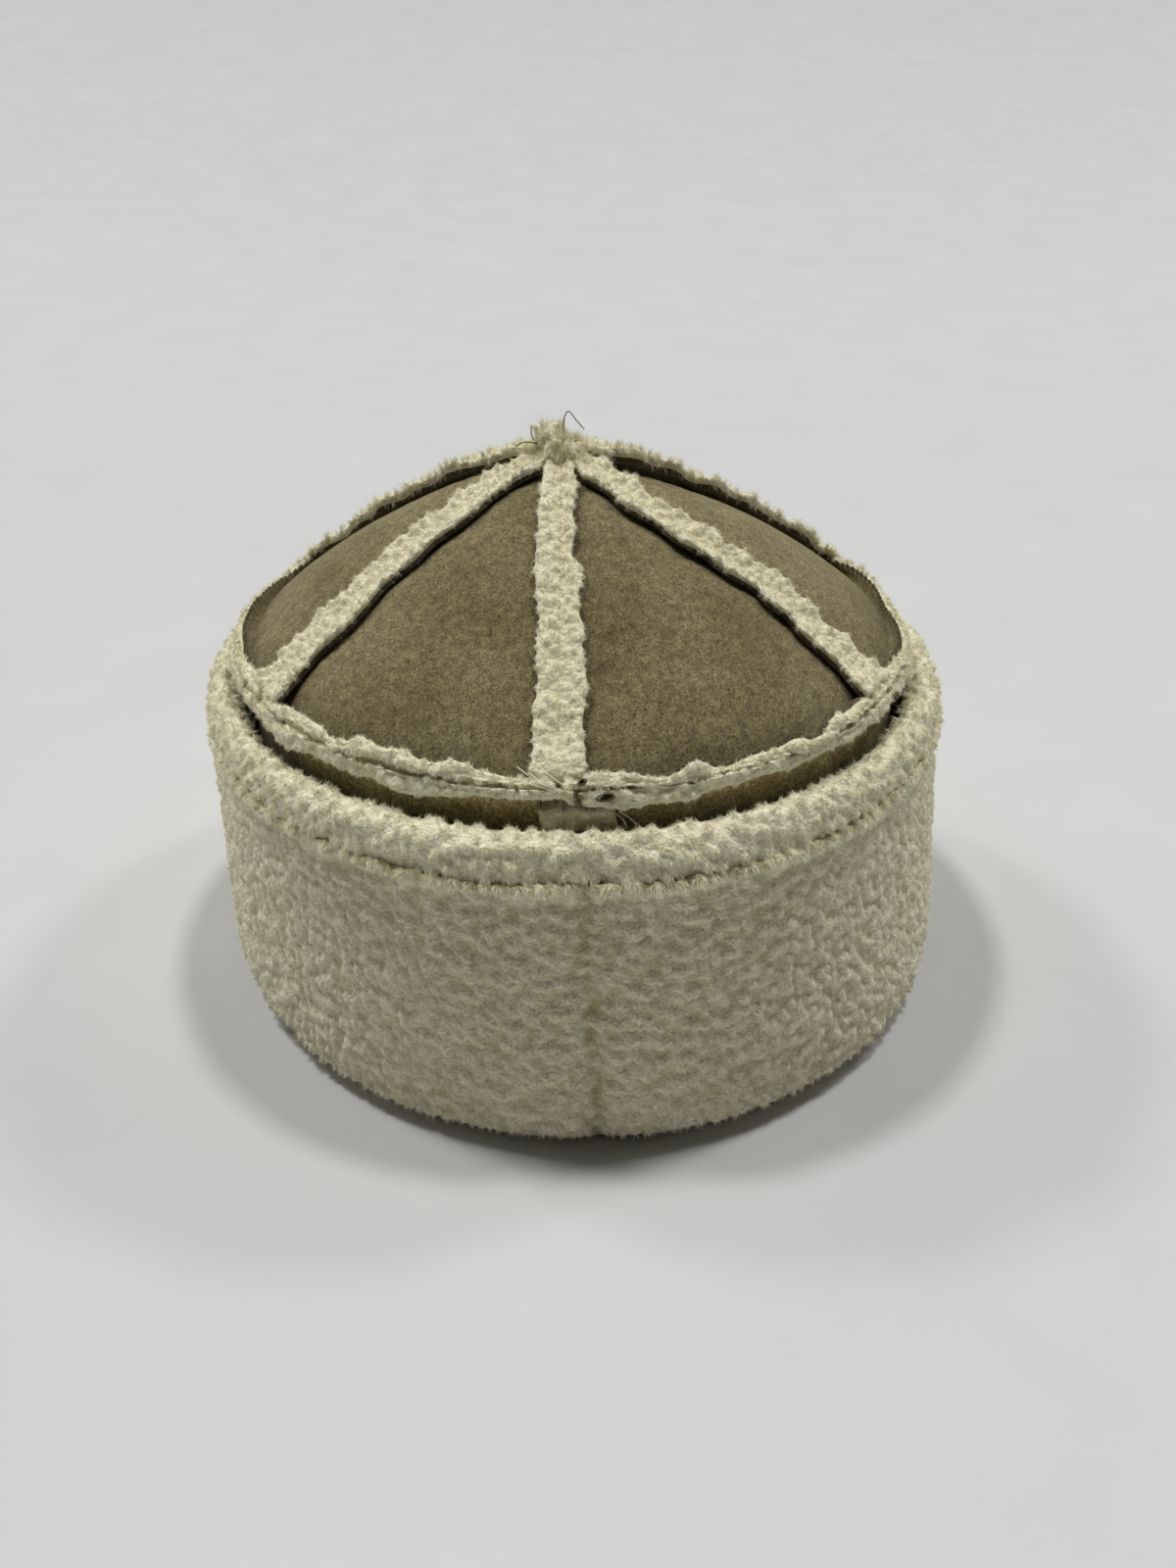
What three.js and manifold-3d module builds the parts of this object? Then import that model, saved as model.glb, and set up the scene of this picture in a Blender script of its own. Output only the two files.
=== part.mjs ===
// Sheepskin hat: a six-gore suede crown with its seam allowances turned out, a side band and a
// turned-up shearling cuff. Millimetres, +Z up. The origin lies on the resting plane, at the middle
// of the cuff's fold, and the front seams face -Y.
import * as THREE from "three";
import Module from "manifold-3d";

const wasm = await Module();
wasm.setup();
const { lerp, degToRad, radToDeg, smoothstep } = THREE.MathUtils;

// Driving dimensions of the crown and the band
const RING_RADIUS = 92.6; // seam between the crown and the band
const RING_HEIGHT = 100.2;
const DOME_RISE = 48.2; // from the ring seam to the apex
const DOME_POWER = 1.43; // 1 is a plain cone, 2 a round dome
const BAND_FOOT_RADIUS = 96;
const PELT = 4.5; // hide with its short pile, on the crown and the band
const GAP = 0.3; // between neighbouring pieces
const LEAN = -0.041; // sideways lean of the soft hat, per unit of height

const BAND_TURN = degToRad(1.4); // where the band's seam lies, from the front towards +X

// A lip is one seam allowance turned out flat, with its pile showing
const LIP = {
  width: 5.2,
  taper: 0.8, // width at the apex as a share of the width at the ring
  pile: 2.3, // crest over the face that it lies on
  hide: 1.4, // thickness of the cut edge
  valley: 1.0, // drop from the crest to the seam line
  inset: 0.3, // first point's distance from the seam, past the piece's own edge
  fold: 1.4, // distance from the seam at which the lip leaves the face
  slot: 0.4, // height of the slot under it there
  root: 1.5, // depth to which it is rooted in the face
  ruffle: 0.5, // sideways wave of the free edge
  ripple: 0.25, // up and down wave of the free edge, as a share of its lift
  crestFrom: 0.4, // where the crest starts and ends, as shares of the width
  crestTo: 0.85,
  under: 0.96, // the underside's edge, as a share of the width
};

// Each gore, from the front round by +X: how far it swells, and how high and far out its tip stands
const GORES = [
  { puff: 4.0, tipHeight: 7.0, tipReach: 8.5 },
  { puff: 2.8, tipHeight: 5.0, tipReach: 8.5 },
  { puff: 1.2, tipHeight: 6.5, tipReach: 8.0 },
  { puff: 1.8, tipHeight: 8.5, tipReach: 8.0 },
  { puff: 2.6, tipHeight: 9.5, tipReach: 8.5 },
  { puff: 4.0, tipHeight: 8.0, tipReach: 9.0 },
];
const SWELL_POWER = 0.6; // below 1 the swell is fullest nearer to the ring than to the apex

// Levels of a bunched gore tip, by shares of its height over the apex and of its reach
const TIP_ROOT = 4; // depth under the apex
const TIP_LEVELS = [
  { height: 0.07, reach: 1 },
  { height: 0.6, reach: 0.85 },
  { height: 1, reach: 0.5 },
];

// Each crown seam: its degrees from the front round by +X at the ring, how far it bends from there to
// the apex, how far its lips stand off, and their ruffles
const SEAMS = [
  { turn: -1, bend: 0, lift: 0.9, waves: 1.5, phase: 0.1 },
  { turn: 59, bend: -16, lift: 2.2, waves: 4.0, phase: 0.0 },
  { turn: 119, bend: 0, lift: 1.4, waves: 3.5, phase: 0.3 },
  { turn: 179, bend: 0, lift: 1.2, waves: 3.0, phase: 0.6 },
  { turn: 240, bend: 0, lift: 1.4, waves: 3.0, phase: 0.2 },
  { turn: 303, bend: 0, lift: 1.9, waves: 3.0, phase: 0.5 },
];
const BEND = { from: 0.3, to: 0.9 }; // where a bend lies, as shares from ring to apex

// The ring seam's upper lip, by degrees from the front: narrow there, and standing up at the sides
const RING_ROWS = [
  { away: 0, width: 3.8, lift: 1.2 },
  { away: 30, width: 5.0, lift: 1.2 },
  { away: 65, width: 5.2, lift: 1.6 },
  { away: 90, width: 5.0, lift: 2.6 },
  { away: 120, width: 5.2, lift: 2.0 },
  { away: 180, width: 5.2, lift: 1.4 },
];
const RING_WAVE = { waves: 11, lift: 0.4 };
const BAND_LIP_LIFT = 1.3;
const BAND_SEAM_LIP = { width: 8.2, lift: 0.6, pile: 2.3, foot: 12, head: 97 };

// The cuff's section, from the inner end of the fold to the hem: outer and inner face by rows
const FOLD_PELT = 5.2; // thickness of the fold where it lies under the band
const CUFF_ROWS = [
  { place: "fold end", outR: 91, outZ: 1.6, inR: 91, inZ: 4.6 },
  { place: "rest, inside", outR: 93.5, outZ: 0, inR: 93.5, inZ: FOLD_PELT },
  { place: "rest, outside", outR: 103.5, outZ: 0, inR: 97.5, inZ: FOLD_PELT },
  { place: "under the turn", outR: 108.6, outZ: 2.6, inR: 100.2, inZ: 7.5 },
  { place: "turn", outR: 111.8, outZ: 9.6, inR: 101.6, inZ: 13.5 },
  { place: "lower wall", outR: 111.1, outZ: 30, inR: 101.6, inZ: 30 },
  { place: "wall", outR: 109.5, outZ: 52, inR: 100.4, inZ: 52 },
  { place: "under the stitches", outR: 107.3, outZ: 79.5, inR: 98.6, inZ: 77 },
  { place: "stitches", outR: 105.4, outZ: 82, inR: 97.6, inZ: 81 },
  { place: "hem", outR: 106.6, outZ: 85.5, inR: 96.8, inZ: 85 },
  { place: "hem shoulder", outR: 105.4, outZ: 90.5, inR: 96.8, inZ: 89.5 },
  { place: "hem top", outR: 102, outZ: 93, inR: 98.4, inZ: 92.4 },
];
const CUFF_DENT = { depth: 1.8, width: 7, from: 12 }; // along its front seam, above the turn
const CUFF_SWAY = { depth: 0.7, waves: 3, twist: 0.02 }; // slow unevenness of the wall

// How finely each sweep is stepped
const GORE_STEPS = 8;
const GORE_ACROSS = 6;
const SEAM_LIP_STEPS = 11;
const FOOT_LIP_STEPS = 8;
const ROUND_STEPS = 46;
const END_CLOSENESS = 0.4; // how much closer the steps of a round strip are at its ends
const SEAM_LIP_SPAN = { from: 0.03, to: 0.945 };
const GORE_END = 0.95; // where a gore's panel runs into its tip, as a share from ring to apex

const SUEDE = { color: 0x7d7252, roughness: 0.95, metalness: 0 };
const SHEARLING = { color: 0xd8d2b8, roughness: 1, metalness: 0 };

const TURN = 2 * Math.PI;
const shares = (steps) => Array.from({ length: steps + 1 }, (_, i) => i / steps);

// A point, or a step, at an azimuth turning from the front (-Y) towards +X
function polar(azimuth, radius, z) {
  return new THREE.Vector3(radius * Math.sin(azimuth), -radius * Math.cos(azimuth), z);
}

// The angle from the front, either way round
const turnFromFront = (azimuth) => Math.abs(Math.atan2(Math.sin(azimuth), Math.cos(azimuth)));

// The angle at a radius that leaves half a gap between a face and the seam's own plane
const gapAngle = (radius) => Math.asin(GAP / 2 / radius);

// A closed body through rings of points, each ring running out along one side and back along the other
function loft(rings) {
  const count = rings[0].length;
  const last = (rings.length - 1) * count;
  const triangles = [];
  for (let base = 0; base < last; base += count) {
    for (let j = 0; j < count; j++) {
      const a = base + j;
      const b = base + ((j + 1) % count);
      triangles.push(a, b, b + count, a, b + count, a + count);
    }
  }
  for (let j = 0; j < count / 2 - 1; j++) {
    const [a, b, c, d] = [j, j + 1, count - 2 - j, count - 1 - j];
    triangles.push(a, c, b, a, d, c);
    triangles.push(last + a, last + b, last + c, last + a, last + c, last + d);
  }
  const vertProperties = new Float32Array(rings.flat().flatMap((point) => point.toArray()));
  const solidOf = (list) =>
    new wasm.Manifold(new wasm.Mesh({ numProp: 3, vertProperties, triVerts: new Uint32Array(list) }));
  const solid = solidOf(triangles);
  return solid.volume() > 0 ? solid : solidOf(triangles.reverse());
}

// The seams' profile on the dome: s runs from the ring (0) to the apex (1)
function dome(s) {
  const share = 1 - s;
  const slope = ((DOME_RISE * DOME_POWER) / RING_RADIUS) * share ** (DOME_POWER - 1);
  return {
    radius: RING_RADIUS * share,
    z: RING_HEIGHT + DOME_RISE * (1 - share ** DOME_POWER),
    out: Math.sin(Math.atan(slope)),
    up: Math.cos(Math.atan(slope)),
  };
}

// At the ring the crown and the band meet on a cone that halves the corner between them
const CROWN_FOOT = dome(0);
const RING_HALF_TURN = Math.atan2(CROWN_FOOT.up, CROWN_FOOT.out) / 2;
const RING_OUT = Math.cos(RING_HALF_TURN);
const RING_UP = Math.sin(RING_HALF_TURN);
const RING_DEPTH = PELT / Math.cos(RING_HALF_TURN);
const MERIDIAN = RING_RADIUS / CROWN_FOOT.up; // length of the dome per unit of s, at the ring

// A point of the ring seam: depth runs inwards along that cone, and side is 1 above it, -1 below it
function ringPoint(azimuth, depth, side) {
  const half = (side * GAP) / 2;
  const radius = RING_RADIUS - RING_OUT * depth - RING_UP * half;
  return polar(azimuth, radius, RING_HEIGHT - RING_UP * depth + RING_OUT * half);
}

const seamAzimuth = (seam, s) => degToRad(seam.turn + seam.bend * smoothstep(s, BEND.from, BEND.to));

// A gore's middle azimuth and half its angle, at a place from ring to apex
function goreSpan(gore, s) {
  const start = seamAzimuth(gore.seam, s);
  const half = ((seamAzimuth(gore.nextSeam, s) - start + TURN) % TURN) / 2;
  return { middle: start + half, half };
}

// The azimuth of a point on a gore: t runs from -1 to 1 between its two seams, half a gap off each
function goreAzimuth(gore, s, t) {
  const { middle, half } = goreSpan(gore, s);
  return middle + t * (half - gapAngle(dome(s).radius));
}

// A point over a gore's outer face
function gorePoint(gore, s, t, height) {
  const { radius, z, out, up } = dome(s);
  const azimuth = goreAzimuth(gore, s, t);
  const swell = gore.puff * (1 - t * t) * Math.sin(Math.PI * s ** SWELL_POWER);
  const over = height + swell;
  return polar(azimuth, radius + out * over, z + up * over);
}

// The section of a lip: distance across from its seam, and height over the face that it lies on
function lipSection(width, lift, pile = LIP.pile) {
  const crest = pile + lift / 2;
  return [
    { across: LIP.inset, height: -LIP.root },
    { across: LIP.inset, height: crest - LIP.valley },
    { across: width * LIP.crestFrom, height: crest },
    { across: width * LIP.crestTo, height: crest },
    { across: width, height: lift + LIP.hide },
    { across: width * LIP.under, height: lift },
    { across: LIP.fold, height: LIP.slot },
    { across: LIP.fold, height: -LIP.root },
  ];
}

// A gore's panel of even thickness, from the ring seam up to its tip
function gorePanel(gore) {
  const spread = shares(GORE_ACROSS).map((share) => lerp(-1, 1, share));
  const back = spread.toReversed();
  const foot = [
    ...spread.map((t) => ringPoint(goreAzimuth(gore, 0, t), 0, 1)),
    ...back.map((t) => ringPoint(goreAzimuth(gore, 0, t), RING_DEPTH, 1)),
  ];
  const rest = shares(GORE_STEPS)
    .slice(1)
    .map((share) => GORE_END * share)
    .map((s) => [
      ...spread.map((t) => gorePoint(gore, s, t, 0)),
      ...back.map((t) => gorePoint(gore, s, t, -PELT)),
    ]);
  return loft([foot, ...rest]);
}

// One lip along a gore's side: side is -1 at its first seam and 1 at its second
function seamLip(gore, seam, side) {
  const rings = shares(SEAM_LIP_STEPS).map((share) => {
    const s = lerp(SEAM_LIP_SPAN.from, SEAM_LIP_SPAN.to, share);
    const halfWidth = dome(s).radius * goreSpan(gore, s).half;
    const wave = Math.sin(TURN * (seam.waves * share + seam.phase) + side);
    const wanted = LIP.width * lerp(1, LIP.taper, share) + LIP.ruffle * wave;
    const width = Math.min(wanted, halfWidth - GAP);
    const lift = seam.lift * (1 - LIP.ripple + LIP.ripple * wave);
    return lipSection(width, lift).map(({ across, height }) =>
      gorePoint(gore, s, side * (1 - across / halfWidth), height),
    );
  });
  return loft(rings);
}

// The width and lift of the ring seam's lips at an azimuth, between the table's rows
function ringRow(azimuth) {
  const away = radToDeg(turnFromFront(azimuth));
  const next = Math.max(1, RING_ROWS.findIndex((row) => row.away >= away));
  const [low, high] = [RING_ROWS[next - 1], RING_ROWS[next]];
  const share = (away - low.away) / (high.away - low.away);
  const wave = Math.sin(RING_WAVE.waves * azimuth);
  return {
    width: lerp(low.width, high.width, share) + LIP.ruffle * wave,
    lift: lerp(low.lift, high.lift, share) + RING_WAVE.lift * wave,
  };
}

// The lip along a gore's foot, the upper half of the strip round the crown
function footLip(gore) {
  const rings = shares(FOOT_LIP_STEPS).map((share) => {
    const t = lerp(-1, 1, share);
    const azimuth = goreAzimuth(gore, 0, t);
    const { width, lift } = ringRow(azimuth);
    return lipSection(width, lift).map(({ across, height }) => {
      const face = gorePoint(gore, across / MERIDIAN, t, 0);
      const share = Math.min(1, across / LIP.width);
      const out = lerp(RING_OUT, CROWN_FOOT.out, share) * height;
      const up = lerp(RING_UP, CROWN_FOOT.up, share) * height;
      return face.add(polar(azimuth, out, up));
    });
  });
  return loft(rings);
}

// The bunched, upturned end of a gore, one wedge of the tuft at the apex
function goreTip(gore) {
  const apex = RING_HEIGHT + DOME_RISE;
  const root = { height: -TIP_ROOT / gore.tipHeight, reach: TIP_LEVELS[1].reach };
  const { middle, half } = goreSpan(gore, 1);
  const core = GAP / 2 / Math.sin(half);
  const rings = [root, ...TIP_LEVELS].map(({ height, reach }) => {
    const z = apex + height * gore.tipHeight;
    const radius = reach * gore.tipReach;
    const side = half - gapAngle(radius);
    return [
      polar(middle, core, z),
      polar(middle - side, radius, z),
      polar(middle, radius, z),
      polar(middle + side, radius, z),
    ];
  });
  return loft(rings);
}

function crownGore(index) {
  const seam = SEAMS[index];
  const nextSeam = SEAMS[(index + 1) % SEAMS.length];
  const gore = { ...GORES[index], seam, nextSeam };
  return gorePanel(gore)
    .add(seamLip(gore, seam, -1))
    .add(seamLip(gore, nextSeam, 1))
    .add(footLip(gore))
    .add(goreTip(gore));
}

// The band's outer radius at a height
const BAND_FOOT = FOLD_PELT + GAP;
const BAND_SLOPE = (BAND_FOOT_RADIUS - RING_RADIUS) / (RING_HEIGHT - BAND_FOOT);
const bandRadius = (z) => RING_RADIUS + BAND_SLOPE * (RING_HEIGHT - z);

// Azimuths round a strip whose two ends meet at a seam
function roundStrip(seamAzimuth, radius, steps) {
  const start = seamAzimuth + gapAngle(radius);
  const end = seamAzimuth + TURN - gapAngle(radius);
  const closer = (share) => share - (END_CLOSENESS * Math.sin(TURN * share)) / TURN;
  return shares(steps).map((share) => lerp(start, end, closer(share)));
}

// The band's wall, mitred to the crown along the ring seam
function bandWall() {
  const middle = (BAND_FOOT + RING_HEIGHT) / 2;
  const rings = roundStrip(BAND_TURN, RING_RADIUS - RING_DEPTH, ROUND_STEPS).map((azimuth) => [
    ringPoint(azimuth, 0, -1),
    polar(azimuth, bandRadius(middle), middle),
    polar(azimuth, bandRadius(BAND_FOOT), BAND_FOOT),
    polar(azimuth, bandRadius(BAND_FOOT) - PELT, BAND_FOOT),
    polar(azimuth, bandRadius(middle) - PELT, middle),
    ringPoint(azimuth, RING_DEPTH, -1),
  ]);
  return loft(rings);
}

// The lip along the band's top, the lower half of the strip round the crown
function bandTopLip() {
  const rings = roundStrip(BAND_TURN, RING_RADIUS, ROUND_STEPS).map((azimuth) => {
    const { width } = ringRow(azimuth);
    return lipSection(width, BAND_LIP_LIFT).map(({ across, height }) => {
      const share = Math.min(1, across / LIP.width);
      const z = RING_HEIGHT - across + lerp(RING_UP, 0, share) * height;
      const out = lerp(RING_OUT, 1, share) * height;
      return polar(azimuth, bandRadius(RING_HEIGHT - across) + out, z);
    });
  });
  return loft(rings);
}

// One lip of the band's front seam, pressed flat behind the cuff
function bandSeamLip(side) {
  const { width, lift, pile, foot, head } = BAND_SEAM_LIP;
  const rings = [foot, (foot + head) / 2, head].map((z) =>
    lipSection(width, lift, pile).map(({ across, height }) => {
      const radius = bandRadius(z);
      return polar(BAND_TURN + (side * across) / radius, radius + height, z);
    }),
  );
  return loft(rings);
}

function sideBand() {
  return bandWall().add(bandTopLip()).add(bandSeamLip(1)).add(bandSeamLip(-1));
}

// How far the cuff's outer face is moved in or out of round
function cuffRelief(azimuth, z, radius) {
  const fromSeam = turnFromFront(azimuth) * radius;
  const rise = smoothstep(z, 0, CUFF_DENT.from);
  const dent = CUFF_DENT.depth * Math.exp(-((fromSeam / CUFF_DENT.width) ** 2));
  const sway = CUFF_SWAY.depth * Math.sin(CUFF_SWAY.waves * azimuth + CUFF_SWAY.twist * z);
  return rise * (sway - dent);
}

function cuff() {
  const innerEnd = CUFF_ROWS[0].outR;
  const rings = roundStrip(0, innerEnd, ROUND_STEPS).map((azimuth) => [
    ...CUFF_ROWS.map(({ outR, outZ }) => polar(azimuth, outR + cuffRelief(azimuth, outZ, outR), outZ)),
    ...CUFF_ROWS.toReversed().map(({ inR, inZ }) => polar(azimuth, inR, inZ)),
  ]);
  return loft(rings);
}

// A node: the solid's surface, leaned over as the whole hat is
function node(name, solid, look) {
  const { vertProperties, triVerts } = solid.getMesh();
  const lean = new THREE.Matrix4().set(1, 0, LEAN, 0, 0, 1, 0, 0, 0, 0, 1, 0, 0, 0, 0, 1);
  const geometry = new THREE.BufferGeometry()
    .setAttribute("position", new THREE.BufferAttribute(vertProperties, 3))
    .setIndex(new THREE.BufferAttribute(triVerts, 1))
    .applyMatrix4(lean);
  geometry.computeVertexNormals();
  const mesh = new THREE.Mesh(geometry, new THREE.MeshStandardMaterial(look));
  mesh.name = name;
  return mesh;
}

const hat = new THREE.Group();
GORES.forEach((_, index) => hat.add(node(`crown_gore_${index + 1}`, crownGore(index), SUEDE)));
hat.add(node("side_band", sideBand(), SUEDE));
hat.add(node("cuff", cuff(), SHEARLING));

export default hat;
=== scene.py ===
"""Looks of the sheepskin hat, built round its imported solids.

Shapes are worked out in millimetres, upright, and are leaned over and turned into metres as their
meshes are made. Azimuths turn from the front (-Y) towards +X.
"""

import bpy
import numpy as np
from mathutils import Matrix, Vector


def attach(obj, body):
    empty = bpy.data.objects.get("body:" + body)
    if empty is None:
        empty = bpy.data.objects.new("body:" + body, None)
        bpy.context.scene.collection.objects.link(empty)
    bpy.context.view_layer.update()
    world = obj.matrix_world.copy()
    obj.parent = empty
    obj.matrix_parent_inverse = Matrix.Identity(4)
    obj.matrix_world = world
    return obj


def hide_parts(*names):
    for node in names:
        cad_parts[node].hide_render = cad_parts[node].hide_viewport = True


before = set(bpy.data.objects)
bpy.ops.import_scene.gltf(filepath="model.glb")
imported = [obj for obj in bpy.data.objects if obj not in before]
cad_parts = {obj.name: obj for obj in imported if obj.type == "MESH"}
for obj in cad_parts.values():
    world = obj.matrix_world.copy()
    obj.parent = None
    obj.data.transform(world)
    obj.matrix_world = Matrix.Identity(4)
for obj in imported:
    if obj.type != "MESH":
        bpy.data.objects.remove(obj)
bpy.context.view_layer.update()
rng = np.random.default_rng(11)

MM = 0.001
TURN = 2 * np.pi

# The hat's own sizes, as the solids have them
RING_RADIUS = 92.6
RING_HEIGHT = 100.2
DOME_RISE = 48.2
DOME_POWER = 1.43
BAND_FOOT_RADIUS = 96
BAND_FOOT = 5.5
PELT = 4.5
GAP = 0.3
LEAN = -0.041
SWELL_POWER = 0.6
APEX = RING_HEIGHT + DOME_RISE
BAND_TURN = np.radians(1.4)
CUFF_TURN = np.radians(1.8)

# Each gore, from the front round by +X
GORES = [
    {"puff": 4.0, "tip": 7.0, "reach": 8.5},
    {"puff": 2.8, "tip": 5.0, "reach": 8.5},
    {"puff": 1.2, "tip": 6.5, "reach": 8.0},
    {"puff": 1.8, "tip": 8.5, "reach": 8.0},
    {"puff": 2.6, "tip": 9.5, "reach": 8.5},
    {"puff": 4.0, "tip": 8.0, "reach": 9.0},
]

# Each crown seam: its place at the ring and its bend towards the apex in degrees, how far its lips
# stand off, their ruffles, the depth of the pile at their free edge and how much wider they are
SEAMS = [
    {"turn": -1, "bend": 0, "lift": 0.4, "waves": 1.5, "phase": 0.1, "pile": 1.9, "wider": 0},
    {"turn": 59, "bend": -16, "lift": 0.8, "waves": 4.0, "phase": 0.0, "pile": 1.9, "wider": 0.5},
    {"turn": 119, "bend": 0, "lift": 1.0, "waves": 3.5, "phase": 0.3, "pile": 2.9, "wider": 0.5},
    {"turn": 179, "bend": 0, "lift": 0.8, "waves": 3.0, "phase": 0.6, "pile": 2.6, "wider": 0.5},
    {"turn": 240, "bend": 0, "lift": 0.8, "waves": 3.0, "phase": 0.2, "pile": 2.9, "wider": 0.5},
    {"turn": 303, "bend": 0, "lift": 0.8, "waves": 3.0, "phase": 0.5, "pile": 1.9, "wider": 0.7},
]
BEND_FROM, BEND_TO = 0.3, 0.9

# The free edges of each seam's two lips, on the gore before it and on the one after it: small waves
# along the edge, their depth, how much further the edge stands off, a narrowing towards the apex, and
# how far the hide reaches out past the pile
EDGES = [
    {1: (6, 0.3, 0.0, 0.0, 0.0), -1: (6, 0.4, 0.0, 1.7, 0.0)},
    {1: (7, 1.0, 0.2, 0.0, 0.8), -1: (9, 0.8, 0.0, 0.0, 0.0)},
    {1: (6, 0.9, 0.9, 0.0, 0.4), -1: (7, 0.8, 0.3, 0.0, 0.0)},
    {1: (5, 0.8, 0.4, 0.0, 0.3), -1: (6, 0.8, 0.4, 0.0, 0.3)},
    {1: (7, 0.8, 0.3, 0.0, 0.0), -1: (6, 0.9, 0.7, 0.0, 0.4)},
    {1: (9, 0.8, 0.0, 0.0, 0.0), -1: (4.5, 0.9, 0.2, 0.0, 0.8)},
]
NARROW_FROM, NARROW_TO = 0.56, 0.61

# The ring seam's lips: degrees from the front, towards +X, with the widths there of the upper lip, on
# the crown, and the lower one, on the band, and how far the upper one stands up, in degrees
RING_TURN = [-180, -120, -100, -75, -62, -30, -9, -4, -1, 1, 5, 30, 50, 64, 74, 100, 118, 180]
UPPER_WIDTH = [4.0, 4.0, 2.6, 2.6, 3.0, 2.7, 2.7, 2.4, 2.0, 3.0, 3.2, 3.0, 3.0, 3.0, 2.5, 2.6, 4.0, 4.0]
LOWER_WIDTH = [4.4, 4.6, 5.0, 5.4, 4.6, 4.2, 3.9, 3.2, 2.6, 3.6, 3.9, 3.7, 3.7, 4.6, 5.4, 5.0, 4.6, 4.4]
RING_STAND = [10, 12, 45, 45, 5, 8, 8, 5, 0, 10, 30, 45, 30, 5, 42, 42, 12, 10]
RING_LIFT = 0.9
RING_WAVES = 11
RING_WAVE_LIFT = 0.4
BAND_LIP_LIFT = 0.9
BAND_LIP_STAND = 32
RING_VALLEY = 0.8
BAND_SEAM = {"width": 8.2, "lift": 0.6, "pile": 2.3, "foot": 12, "head": 97}

# A lip is one seam allowance turned out flat
LIP_WIDTH = 5.2
LIP_TAPER = 0.8
LIP_PILE = 2.8
LIP_HIDE = 1.0
LIP_EDGE_PILE = 1.9
LIP_BULGE_IN, LIP_BULGE_OUT = 0.5, 1.1
LIP_VALLEY_WIDTH = 0.8
LIP_INSET = -0.1
LIP_TUCK, LIP_TUCK_DROP = 0.5, 0.7
LIP_FOLD = 1.4
LIP_SLOT = 0.4
LIP_MIDDLE = 0.75
LIP_ROOT = 1.4
LIP_RUFFLE = 0.5
LIP_RIPPLE = 0.25
LIP_FROM, LIP_TO = 0.004, 0.945
FOOT_RISE = 1.3  # how far a seam's lips ride up over the ring's

# The cuff's section from the inner end of its fold to the hem: outer and inner face by rows
CUFF_OUT = [
    (91, 1.6), (93.5, 0), (103.5, 0), (108.6, 2.6), (111.8, 9.6), (111.1, 30),
    (109.5, 52), (107.3, 79.5), (105.4, 82), (106.6, 85.5), (105.4, 90.5), (102, 93),
]
CUFF_IN = [
    (91, 4.6), (93.5, 5.2), (97.5, 5.2), (100.2, 7.5), (101.6, 13.5), (101.6, 30),
    (100.4, 52), (98.6, 77), (97.6, 81), (96.8, 85), (96.8, 89.5), (98.4, 92.4),
]
CUFF_DENT = {"depth": 1.8, "width": 7, "from": 12}
CUFF_SWAY = {"depth": 0.7, "waves": 3, "twist": 0.02}
HEM_GROOVE = 82


def unit(v):
    return v / np.maximum(np.linalg.norm(v, axis=-1, keepdims=True), 1e-9)


def dot(a, b):
    return (a * b).sum(-1, keepdims=True)


def smoothstep(x, low, high):
    share = np.clip((x - low) / (high - low), 0, 1)
    return share * share * (3 - 2 * share)


def mix(a, b, share):
    return a + (b - a) * share


def polar(azimuth, radius, z):
    spread = np.broadcast_arrays(radius * np.sin(azimuth), -radius * np.cos(azimuth), z)
    return np.stack(spread, -1).astype(float)


def from_front(azimuth):
    return np.abs(np.arctan2(np.sin(azimuth), np.cos(azimuth)))


# Noise in space
def lattice(cell, seed):
    """A random number from 0 to 1 for each whole-numbered cell."""
    c = cell.astype(np.int64).astype(np.uint32)
    h = c[..., 0] * np.uint32(0x9E3779B1)
    h ^= c[..., 1] * np.uint32(0x85EBCA77)
    h ^= c[..., 2] * np.uint32(0xC2B2AE3D)
    h ^= np.uint32((seed * 0x27D4EB2F) & 0xFFFFFFFF)
    for shift, factor in ((15, 0x2C1B3C6D), (12, 0x297A2D39)):
        h ^= h >> np.uint32(shift)
        h *= np.uint32(factor)
    h ^= h >> np.uint32(15)
    return h / 2.0**32


def soft_noise(points, size, seed):
    """Smooth noise from -1 to 1, with lumps of about that size."""
    place = points / size
    cell = np.floor(place)
    share = place - cell
    share = share * share * (3 - 2 * share)
    total = 0
    for corner in np.ndindex(2, 2, 2):
        weight = np.prod(np.where(corner, share, 1 - share), axis=-1)
        total = total + weight * lattice(cell + corner, seed)
    return 2 * total - 1


def clumps(points, size, seed):
    """How far each point is from its clump's middle (1 is about the rim), the way there, and its draw."""
    place = points / size
    base = np.floor(place)
    best = np.full(len(points), 9.0)
    way = np.zeros_like(place)
    draw = np.zeros(len(points))
    for corner in np.ndindex(3, 3, 3):
        cell = base + corner - 1
        spot = np.stack([lattice(cell, seed + k) for k in range(3)], -1)
        step = cell + spot - place
        near = (step * step).sum(-1)
        closer = near < best
        best = np.where(closer, near, best)
        way[closer] = step[closer]
        draw[closer] = spot[closer, 0]
    return np.sqrt(best), way * size, draw


# Surfaces of the crown
def dome(s):
    share = 1 - s
    angle = np.arctan(DOME_RISE * DOME_POWER / RING_RADIUS * share ** (DOME_POWER - 1))
    z = RING_HEIGHT + DOME_RISE * (1 - share**DOME_POWER)
    return RING_RADIUS * share, z, np.sin(angle), np.cos(angle)


_, _, FOOT_OUT, FOOT_UP = dome(0.0)
RING_HALF_TURN = np.arctan2(FOOT_UP, FOOT_OUT) / 2
RING_OUT, RING_UP = np.cos(RING_HALF_TURN), np.sin(RING_HALF_TURN)
RING_DEPTH = PELT / np.cos(RING_HALF_TURN)
MERIDIAN = RING_RADIUS / FOOT_UP


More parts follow.
